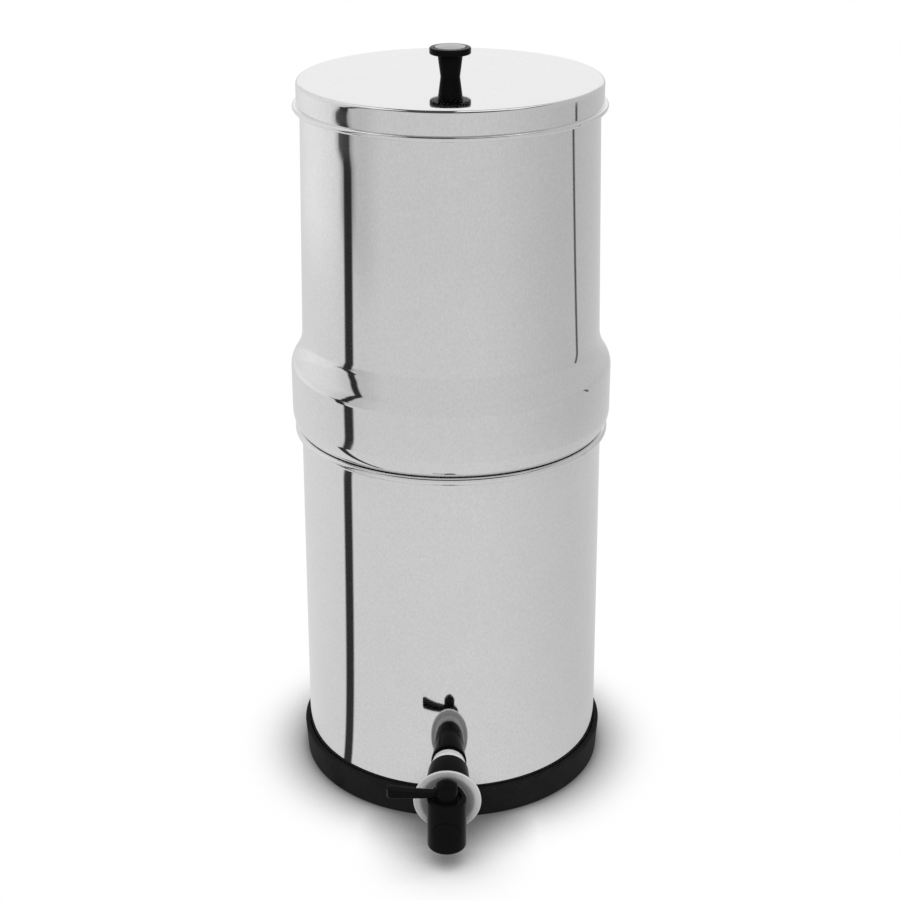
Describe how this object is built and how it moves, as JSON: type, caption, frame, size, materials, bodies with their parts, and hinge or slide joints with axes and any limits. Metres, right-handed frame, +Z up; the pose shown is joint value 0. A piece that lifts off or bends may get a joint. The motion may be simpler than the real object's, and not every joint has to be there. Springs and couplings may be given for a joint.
{
  "type": "gravity water filter with tap",
  "caption": "Polished steel gravity water filter: an upper chamber with ceramic candles nests on a lower chamber with a quarter-turn lever tap, under a lift-off lid.",
  "frame": {"origin": "centre of the base ring's underside, on the surface that the filter stands on", "axes": "+Z up along the chambers' common axis; the tap points along -Y and its lever along -X when closed; +X to the right seen from the tap side"},
  "size_m": [0.2262, 0.2919, 0.5331],
  "materials": {
    "polished_steel": "mirror-polished stainless steel sheet",
    "black_gloss_plastic": "glossy black moulded plastic",
    "knob_cap_gloss": "glossy grey domed cap",
    "black_rubber": "matte black rubber, fine grain",
    "grey_rubber": "matte grey rubber",
    "white_rubber": "matte white silicone rubber",
    "light_grey_plastic": "light grey-white satin plastic",
    "white_plastic": "white satin plastic",
    "ceramic": "matte unglazed off-white ceramic",
    "carbon": "matte pressed carbon",
    "fastener_steel": "plain stainless steel fasteners"
  },
  "bodies": {
    "lower_body": {"lower_chamber": "polished_steel", "base_ring": "black_rubber", "tap_outer_seal": "white_rubber", "tap_inner_seal": "white_rubber", "tap_lock_nut": "black_gloss_plastic", "tap_sleeve": "black_gloss_plastic", "tap_collar": "light_grey_plastic", "tap_body": "black_gloss_plastic", "tap_front_plug": "black_gloss_plastic", "tap_bonnet": "black_gloss_plastic"},
    "upper_body": {"upper_chamber": "polished_steel", "candle_left_shell": "ceramic", "candle_left_core": "carbon", "candle_left_base": "white_plastic", "candle_left_seal": "grey_rubber", "candle_left_nut_washer": "white_plastic", "candle_left_wing_nut": "white_plastic", "candle_right_shell": "ceramic", "candle_right_core": "carbon", "candle_right_base": "white_plastic", "candle_right_seal": "grey_rubber", "candle_right_nut_washer": "white_plastic", "candle_right_wing_nut": "white_plastic", "plug_front": "white_plastic", "plug_front_seal": "grey_rubber", "plug_front_nut_washer": "white_plastic", "plug_front_wing_nut": "white_plastic", "plug_back": "white_plastic", "plug_back_seal": "grey_rubber", "plug_back_nut_washer": "white_plastic", "plug_back_wing_nut": "white_plastic"},
    "lid_body": {"lid": "polished_steel", "lid_knob": "black_gloss_plastic", "knob_cap": "knob_cap_gloss", "knob_screw": "fastener_steel", "knob_washer": "fastener_steel", "knob_nut": "fastener_steel"},
    "tap_handle": {"tap_key": "white_plastic", "tap_key_seals": "grey_rubber", "tap_lever": "black_gloss_plastic"}
  },
  "joints": [
    {"name": "upper_lift", "type": "slide", "parent": "lower_body", "child": "upper_body", "axis": [0, 0, 1], "range_m": [0, 0.07]},
    {"name": "lid_lift", "type": "slide", "parent": "upper_body", "child": "lid_body", "axis": [0, 0, 1], "range_m": [0, 0.04]},
    {"name": "tap_turn", "type": "hinge", "parent": "lower_body", "child": "tap_handle", "pos_m": [0, -0.165, 0.0405], "axis": [0, 0, 1], "range_deg": [0, 90]}
  ]
}
